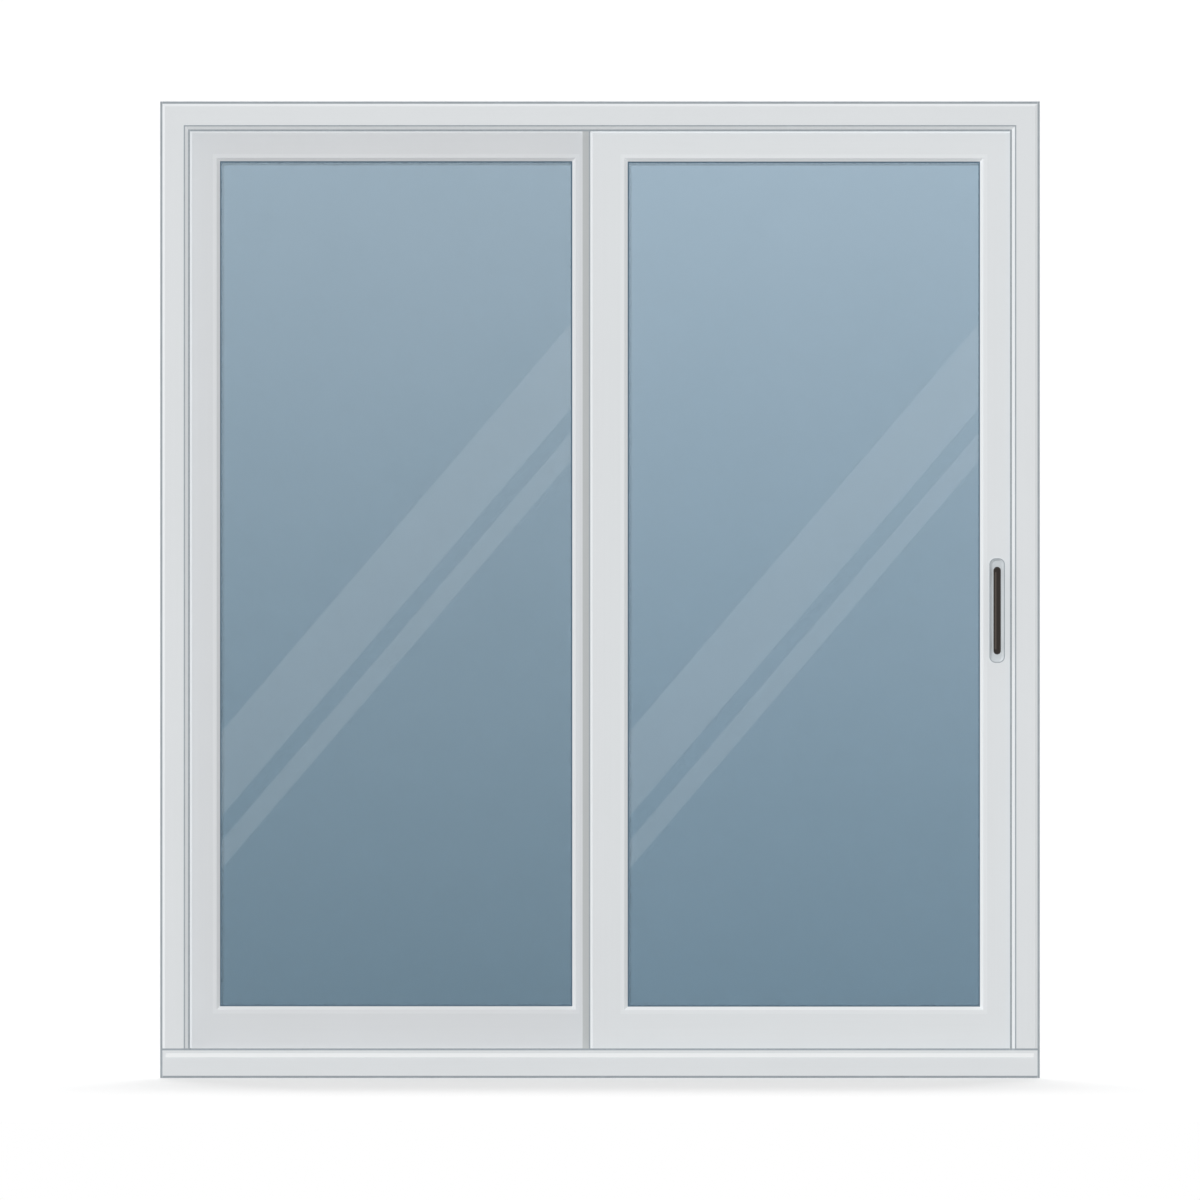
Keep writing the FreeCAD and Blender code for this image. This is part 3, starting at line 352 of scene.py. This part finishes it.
def graded_glass(name, node, tint_and_reflection):
    """Tinted glass with painted light: paler towards its top and in two slanting glare
    bands, both painted reflections, and darker in the painted shade under its left and top
    beads.
    """
    material, tree, shader = start_material(name)
    low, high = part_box(node)
    top_edge = high.z - GASKET_EDGE
    left_edge = low.x + GASKET_EDGE
    axes = add(tree, "ShaderNodeSeparateXYZ", {"Vector": own_coordinates(tree)})
    x, _, z = axes.outputs

    # Painted reflection: the tint grows paler from the foot to the top.
    height = ramp(tree, z, (low.z + GASKET_EDGE, top_edge))
    reflection_gradient = add(tree, "ShaderNodeValToRGB", {0: height})
    stops = reflection_gradient.color_ramp.elements
    for i in range(1, GLASS_STOPS - 1):
        stops.new(i / (GLASS_STOPS - 1))
    for stop in stops:
        mixed = [b + (t - b) * stop.position for t, b in zip(*tint_and_reflection)]
        stop.color = glass_tint(mixed)

    # Painted reflections: two paler slanting bands of glare.
    across = calc(tree, "SUBTRACT", x, left_edge)
    level = calc(tree, "MULTIPLY_ADD", across, -GLARE_SLOPE, z)
    glare_masks = []
    for start, end in GLARE_BANDS:
        above = calc(tree, "GREATER_THAN", level, start)
        below = calc(tree, "LESS_THAN", level, end)
        glare_masks.append(calc(tree, "MULTIPLY", above, below))
    share = calc(tree, "MULTIPLY", calc(tree, "ADD", *glare_masks), GLARE_SHARE)
    with_painted_glare = blend(tree, share, reflection_gradient.outputs[0], WHITE)

    from_top = calc(tree, "SUBTRACT", top_edge, z)
    shades = [
        ramp(tree, distance, (full, gone), (darkness, 0))
        for distance, (full, gone, darkness) in (
            (across, LEFT_SHADE),
            (from_top, TOP_SHADE),
        )
    ]
    shaded = blend(tree, calc(tree, "MAXIMUM", *shades), with_painted_glare, BLACK)
    glassy(tree, shader, shaded)
    return material


def clear_glass(name):
    """The outside pane: clear, with hardly any colour."""
    material, tree, shader = start_material(name)
    haze = noise(tree, own_coordinates(tree), GLASS_HAZE)
    first, second = map(linear, CLEAR_TINTS)
    glassy(tree, shader, blend(tree, haze, first, second))
    return material


frame_z = extruded("frame_upright", FRAME_GREY, "z")
frame_x = extruded("frame_level", FRAME_GREY, "x")
# The fixed panel's profiles: darker copies of the vinyl, as painted shade.
fixed_shaded_z = extruded("fixed_upright_shaded", FIXED_SHADED_GREY, "z")
fixed_shaded_x = extruded("fixed_level_shaded", FIXED_SHADED_GREY, "x")
# The beads: lighter copies of their panel's vinyl, as painted light.
sliding_bead_lit_z = extruded("sliding_bead_upright_lit", SLIDING_BEAD_LIT_GREY, "z")
sliding_bead_lit_x = extruded("sliding_bead_level_lit", SLIDING_BEAD_LIT_GREY, "x")
fixed_bead_shaded_lit_z = extruded("fixed_bead_upright_shaded_lit", FIXED_BEAD_SHADED_LIT_GREY, "z")
fixed_bead_shaded_lit_x = extruded("fixed_bead_level_shaded_lit", FIXED_BEAD_SHADED_LIT_GREY, "x")
# The interlock: a real profile in a grey of painted shadow.
interlock = extruded("interlock_profile", INTERLOCK_SHADOW_GREY, "z", roughness=0.45)
edge_strip = extruded("interlock_edge", LINE_GREY, "z", roughness=0.45)
seal = rubber("seal_rubber", LINE_GREY)
brush = pile("seal_pile", LINE_GREY)
gasket = rubber("glazing_gasket", GASKET_BLUE, roughness=0.6)
spacer = metal("spacer_bar", SPACER_GREY, "z", roughness=0.5)
track = metal("track_metal", TRACK_GREY, "x", roughness=0.35)
zinc = metal("carriage_zinc", ZINC_GREY, "x", roughness=0.42)
steel = metal("lock_steel", STEEL_GREY, "z", roughness=0.3)
nylon = rubber("roller_nylon", NYLON_WHITE, roughness=0.45)
black = rubber("stop_rubber", STOP_BLACK, roughness=0.8)
# The nosing: the frame's vinyl with a painted highlight.
nosing = extruded("nosing", NOSING_LIT_GREY, "x")
clear = clear_glass("clear_glass")
fixed_glass = graded_glass("fixed_glass", "fixed_room_pane", FIXED_TINT_AND_REFLECTION)
sliding_glass = graded_glass("sliding_glass", "sliding_room_pane", SLIDING_TINT_AND_REFLECTION)
plate = extruded("handle_plate", PLATE_GREY, "z")
grip, grip_highlight = (
    extruded(name, colour, "z", roughness=0.45, variation=0.06, gloss=0.2)
    for name, colour in (("grip_bar", GRIP_BROWN), ("grip_highlight", GRIP_HIGHLIGHT_BROWN))
)

PAINTS = {
    "sill": frame_x,
    "sill_nosing": nosing,
    "head": frame_x,
    "left_jamb": frame_z,
    "right_jamb": frame_z,
    "frame_edge_seal": seal,
    "jamb_gaskets": seal,
    "lip_pile_seal": brush,
    "roller_track": track,
    "head_guide": track,
    "end_stop": black,
    "strike_plate": steel,
    "lock_plate": steel,
    "fixed_interlock": interlock,
    "sliding_interlock": edge_strip,
    "fixed_pane_spacer": spacer,
    "sliding_pane_spacer": spacer,
    "fixed_gasket": gasket,
    "sliding_gasket": gasket,
    "roller_carriages": zinc,
    "rollers": nylon,
    "handle_plate": plate,
    "outside_pull": plate,
    "grip_bar": grip,
    "fixed_outside_pane": clear,
    "sliding_outside_pane": clear,
    "fixed_room_pane": fixed_glass,
    "sliding_room_pane": sliding_glass,
}
# A panel's uprights and level profiles, and the beads on both. The fixed panel's carry
# painted shade, and all beads carry painted light.
PROFILES = {
    "fixed": (fixed_shaded_z, fixed_shaded_x, fixed_bead_shaded_lit_z, fixed_bead_shaded_lit_x),
    "sliding": (frame_z, frame_x, sliding_bead_lit_z, sliding_bead_lit_x),
}


def paint(node, material):
    """Give a carried-over node its material."""
    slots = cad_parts[node].data.materials
    slots.clear()
    slots.append(material)


def paint_all():
    """Give every carried-over node its material."""
    for node, material in PAINTS.items():
        paint(node, material)
    for panel, (upright, level, upright_bead, level_bead) in PROFILES.items():
        for side in ("left", "right"):
            paint(f"{panel}_{side}_stile", upright)
            paint(f"{panel}_{side}_bead", upright_bead)
        for side in ("top", "bottom"):
            paint(f"{panel}_{side}_rail", level)
            paint(f"{panel}_{side}_bead", level_bead)


def new_piece(name, shape, material, body):
    """An added piece: vertices and faces with a material, riding on a body."""
    vertices, faces = shape
    mesh = bpy.data.meshes.new(name)
    mesh.from_pydata(vertices, [], faces)
    mesh.update()
    mesh.materials.append(material)
    piece = bpy.data.objects.new(name, mesh)
    bpy.context.scene.collection.objects.link(piece)
    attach(piece, body)


def swept(rings, closed):
    """Faces between rings of equally many points, with end faces if open."""
    count = len(rings[0])
    vertices = [point for ring in rings for point in ring]
    faces = []
    for i in range(len(rings) if closed else len(rings) - 1):
        here, after = i * count, (i + 1) % len(rings) * count
        for j in range(count):
            k = (j + 1) % count
            faces.append((here + j, here + k, after + k, after + j))
    if not closed:
        faces.append(tuple(range(count))[::-1])
        faces.append(tuple(range(len(vertices) - count, len(vertices))))
    return vertices, faces


def joined(shapes):
    """The vertices and faces of several shapes as those of one."""
    vertices = []
    faces = []
    for more_vertices, more_faces in shapes:
        start = len(vertices)
        vertices += more_vertices
        faces += [tuple(start + index for index in face) for face in more_faces]
    return vertices, faces


CORNER_STEPS = 12


def round_rectangle(low, high, corner, inset=0.0):
    """Points round a rectangle with rounded corners, seen from the room."""
    points = []
    corners = (
        (high.x - corner, high.z - corner),
        (low.x + corner, high.z - corner),
        (low.x + corner, low.z + corner),
        (high.x - corner, low.z + corner),
    )
    reach = corner - inset
    for quarter, (x, z) in enumerate(corners):
        for step in range(CORNER_STEPS + 1):
            turn = (quarter + step / CORNER_STEPS) * math.pi / 2
            points.append((x + reach * math.cos(turn), z + reach * math.sin(turn)))
    return points


# The grey strip in the groove beside the frame's inner bevel, painted shade that darkens
# the groove into a line: the groove's two sides from the frame's edge, its floor, and the
# strip's front and arris.
GROOVE_IN = 0.0485
GROOVE_OUT = 0.0512
GROOVE_FLOOR = 0.003
STRIP_FRONT = 0.0012
STRIP_ROUND = 0.0006


def make_groove_shade_strip():
    """A thin dark strip of painted shade up one jamb, along the head and down the other
    jamb.
    """
    low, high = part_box("frame_edge_seal")
    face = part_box("head")[0].y
    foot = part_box("left_jamb")[0].z
    section = (
        (GROOVE_IN, GROOVE_FLOOR),
        (GROOVE_IN, STRIP_FRONT + STRIP_ROUND),
        (GROOVE_IN + STRIP_ROUND, STRIP_FRONT),
        (GROOVE_OUT - STRIP_ROUND, STRIP_FRONT),
        (GROOVE_OUT, STRIP_FRONT + STRIP_ROUND),
        (GROOVE_OUT, GROOVE_FLOOR),
    )
    stations = (
        (low.x, 1, False),
        (low.x, 1, True),
        (high.x, -1, True),
        (high.x, -1, False),
    )
    rings = [
        [
            (edge + side * inset, face + depth, high.z - inset if mitred else foot)
            for inset, depth in section
        ]
        for edge, side, mitred in stations
    ]
    new_piece("groove_shade_strip", swept(rings, False), seal, "frame")


# Rings round the handle plate: how far inwards, then how far behind its front.
RING_SECTION = (
    (0.0, 0.0004),
    (0.0, -0.0004),
    (0.0003, -0.0006),
    (0.0016, -0.0006),
    (0.0019, -0.0004),
    (0.0019, 0.0004),
)
PLATE_CORNER = 0.013


def make_plate_gasket_and_shade_ring():
    """The thin grey edge ring of the handle plate: a gasket, whose dark line also stands
    for the shade at the plate's edge as painted shade.
    """
    low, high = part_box("handle_plate")
    loops = []
    for inset, depth in RING_SECTION:
        outline = round_rectangle(low, high, PLATE_CORNER, inset)
        loops.append([(x, low.y + depth, z) for x, z in outline])
    shape = swept([list(ring) for ring in zip(*loops)], True)
    new_piece("plate_gasket_and_shade_ring", shape, seal, "sliding_panel")


# The painted highlight on the grip bar, a paler strip let into its front: its middle from
# the bar's, half its width, its distance from the bar's ends, and how far it stands out
# and reaches in.
HIGHLIGHT_OFFSET = -0.003
HIGHLIGHT_HALF = 0.0015
HIGHLIGHT_ENDS = 0.0105
HIGHLIGHT_PROUD = 0.00005
HIGHLIGHT_SUNK = 0.001


def make_grip_highlight():
    """The paler strip let into the grip bar's front, left of its middle: a painted
    highlight.
    """
    low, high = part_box("grip_bar")
    middle = (low.x + high.x) / 2 + HIGHLIGHT_OFFSET
    near = Vector((middle - HIGHLIGHT_HALF, 0, low.z + HIGHLIGHT_ENDS))
    far = Vector((middle + HIGHLIGHT_HALF, 0, high.z - HIGHLIGHT_ENDS))
    outline = round_rectangle(near, far, HIGHLIGHT_HALF)
    rings = [
        [(x, low.y + depth, z) for x, z in outline]
        for depth in (HIGHLIGHT_SUNK, -HIGHLIGHT_PROUD)
    ]
    shape = swept(rings, False)
    new_piece("grip_highlight", shape, grip_highlight, "sliding_panel")


# A screw head: the shares of its radius and height on each ring, and its cross
# recess, whose sizes are shares too.
SCREW_STEPS = 48
SCREW_RINGS = ((1.0, 0.0), (1.0, 0.3), (0.88, 0.75), (0.66, 1.0))
ARM_REACH = 0.5
ARM_HALF = 0.13
RECESS_FLOOR = 0.15
TINY = 1e-9

# Radius and height of the heads in the lock's plates, stop, pull and jambs.
LOCK_HEAD = (0.0042, 0.0006)
STOP_HEAD = (0.0045, 0.0012)
PULL_HEAD = (0.0036, 0.0012)
JAMB_HEAD = (0.0048, 0.0018)
# How far the two screws of a fitting stand from its middle.
STRIKE_SCREWS = (0, 0, 0.042)
LOCK_SCREWS = (0, 0, 0.058)
STOP_SCREWS = (0, 0.011, 0)
PULL_SCREWS = (0, 0, 0.052)
PULL_WALL = 0.002
# The screws of a jamb, on the floor of the sliding panel's lane.
LANE_FLOOR = 0.044
SLIDE_MIDDLE = -0.032
FIRST_SCREW = 0.190
SCREW_PITCH = 0.545
JAMB_SCREWS = 4


def cross_reach(turn):
    """How far a cross recess reaches from the screw's middle in a direction."""
    x, y = abs(math.cos(turn)) + TINY, abs(math.sin(turn)) + TINY
    level = min(ARM_REACH / x, ARM_HALF / y)
    upright = min(ARM_HALF / x, ARM_REACH / y)
    return max(level, upright)


def screw_head(place, outward, radius, height):
    """A low round head with a cross recess."""
    side = outward.orthogonal().normalized()
    up = outward.cross(side)
    turns = [2 * math.pi * i / SCREW_STEPS for i in range(SCREW_STEPS)]
    recess = [cross_reach(turn) for turn in turns]
    levels = [([reach] * SCREW_STEPS, level) for reach, level in SCREW_RINGS]
    levels += [(recess, 1.0), (recess, RECESS_FLOOR)]
    rings = [
        [
            place
            + (side * math.cos(turn) + up * math.sin(turn)) * reach * radius
            + outward * level * height
            for reach, turn in zip(reaches, turns)
        ]
        for reaches, level in levels
    ]
    return swept(rings, False)


def make_screws(name, places, outward, head, body):
    """Screws that face the same way, as one piece."""
    heads = [screw_head(place, Vector(outward), *head) for place in places]
    new_piece(name, joined(heads), steel, body)


def pair(x, y, z, apart):
    """Two places on either side of a middle."""
    middle = Vector((x, y, z))
    return middle - Vector(apart), middle + Vector(apart)


def make_fitting_screws():
    """The screws that hold the lock's two plates, the stop and the pull."""
    low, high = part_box("strike_plate")
    middle = (low + high) / 2
    places = pair(low.x, middle.y, middle.z, STRIKE_SCREWS)
    make_screws("strike_screws", places, (-1, 0, 0), LOCK_HEAD, "frame")
    low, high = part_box("lock_plate")
    middle = (low + high) / 2
    places = pair(high.x, middle.y, middle.z, LOCK_SCREWS)
    make_screws("lock_screws", places, (1, 0, 0), LOCK_HEAD, "sliding_panel")
    low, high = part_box("end_stop")
    middle = (low + high) / 2
    places = pair(middle.x, middle.y, high.z, STOP_SCREWS)
    make_screws("stop_screws", places, (0, 0, 1), STOP_HEAD, "frame")
    low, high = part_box("outside_pull")
    middle = (low + high) / 2
    places = pair(middle.x, low.y + PULL_WALL, middle.z, PULL_SCREWS)
    make_screws("pull_screws", places, (0, 1, 0), PULL_HEAD, "sliding_panel")


def make_jamb_screws():
    """The screws that hold the jambs to the wall, one piece for each jamb."""
    low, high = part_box("head")
    for name, x, side in (
        ("left_jamb_screws", low.x + LANE_FLOOR, 1),
        ("right_jamb_screws", high.x - LANE_FLOOR, -1),
    ):
        places = [
            Vector((x, SLIDE_MIDDLE, FIRST_SCREW + i * SCREW_PITCH))
            for i in range(JAMB_SCREWS)
        ]
        make_screws(name, places, (side, 0, 0), JAMB_HEAD, "frame")


# The flaps in the sill's drain slots: their places, half their size, and the
# rings of one flap: how far inwards, then how far behind the sill's outside.
DRAIN_PLACES = (-0.758, -0.150, 0.150, 0.758)
DRAIN_LEVEL = 0.024
FLAP_HALF = Vector((0.0155, 0, 0.0026))
FLAP_SECTION = ((0.0, 0.0045), (0.0, 0.0027), (0.0007, 0.0022))


def make_drain_flaps():
    """The dark flaps that close the drain slots, as one piece."""
    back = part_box("sill")[1].y
    flaps = []
    for place in DRAIN_PLACES:
        middle = Vector((place, 0, DRAIN_LEVEL))
        low, high = middle - FLAP_HALF, middle + FLAP_HALF
        rings = []
        for inset, depth in FLAP_SECTION:
            outline = round_rectangle(low, high, FLAP_HALF.z, inset)
            rings.append([(x, back - depth, z) for x, z in reversed(outline)])
        flaps.append(swept(rings, False))
    new_piece("drain_flaps", joined(flaps), black, "frame")


def light_path_share(tree):
    """1 for rays that the camera, a mirror or glass sends out, otherwise 0."""
    path = add(tree, "ShaderNodeLightPath").outputs
    seen = calc(tree, "MAXIMUM", path["Is Camera Ray"], path["Is Glossy Ray"])
    return calc(tree, "MAXIMUM", seen, path["Is Transmission Ray"])


def make_world():
    """A white ground that lights the door less than it shows."""
    world = bpy.data.worlds.new("studio")
    world.use_nodes = True
    tree = world.node_tree
    strength = ramp(tree, light_path_share(tree), (0, 1), (AMBIENT, 1.0))
    inputs = {"Color": WHITE, "Strength": strength}
    fill(tree, tree.nodes["Background"], inputs)
    bpy.context.scene.world = world


def make_floor():
    """A plain pale floor."""
    mesh = bpy.data.meshes.new("floor")
    half = FLOOR_HALF
    corners = [(-half, -half, 0), (half, -half, 0), (half, half, 0), (-half, half, 0)]
    mesh.from_pydata(corners, [], [(0, 1, 2, 3)])
    floor = bpy.data.objects.new("floor", mesh)
    floor.location.z = -FLOOR_DROP
    bpy.context.scene.collection.objects.link(floor)
    material, tree, shader = start_material("floor_pale")
    tree.nodes.remove(shader)
    level = ramp(tree, light_path_share(tree), (0, 1), (FLOOR_BOUNCE, FLOOR_SEEN))
    diffuse = add(tree, "ShaderNodeBsdfDiffuse", {"Color": grey(tree, level)})
    fill(tree, tree.nodes["Material Output"], {"Surface": diffuse.outputs[0]})
    mesh.materials.append(material)


def make_sun(name, towards, share, spread, shadow):
    """A light from afar that mirrors and glass don't show."""
    lamp = bpy.data.lights.new(name, "SUN")
    lamp.energy = share * math.pi
    lamp.angle = spread
    lamp.use_shadow = shadow
    sun = bpy.data.objects.new(name, lamp)
    sun.visible_glossy = False
    sun.visible_transmission = False
    sun.rotation_mode = "QUATERNION"
    sun.rotation_quaternion = Vector(towards).to_track_quat("Z", "Y")
    bpy.context.scene.collection.objects.link(sun)


def make_lights():
    """The fills from the sides, and three lights from behind and above."""
    for name, (towards, share) in FILLS.items():
        make_sun(name, towards, share, FILL_SPREAD, False)
    for degrees in BACK_ELEVATIONS:
        slope = math.radians(degrees)
        back = (0, math.cos(slope), math.sin(slope))
        share = BACK_SHARE / len(BACK_ELEVATIONS) / math.sin(slope)
        make_sun(f"back_{degrees}", back, share, BACK_SPREAD, True)


def make_camera():
    """The camera of the main view, without perspective."""
    lens = bpy.data.cameras.new("camera")
    lens.type = "ORTHO"
    lens.ortho_scale = PIXEL * PIXELS
    camera = bpy.data.objects.new("camera", lens)
    back = Vector((0, -math.cos(VIEW_ELEVATION), math.sin(VIEW_ELEVATION)))
    face = Vector((0, cad_box[0].y, VIEW_MIDDLE_Z))
    camera.location = face + back * CAMERA_DISTANCE
    camera.rotation_mode = "QUATERNION"
    camera.rotation_quaternion = (-back).to_track_quat("-Z", "Y")
    bpy.context.scene.collection.objects.link(camera)
    bpy.context.scene.camera = camera


paint_all()
make_groove_shade_strip()
make_plate_gasket_and_shade_ring()
make_grip_highlight()
make_fitting_screws()
make_jamb_screws()
make_drain_flaps()
make_world()
make_floor()
make_lights()
make_camera()
bpy.context.scene.view_settings.view_transform = "Standard"
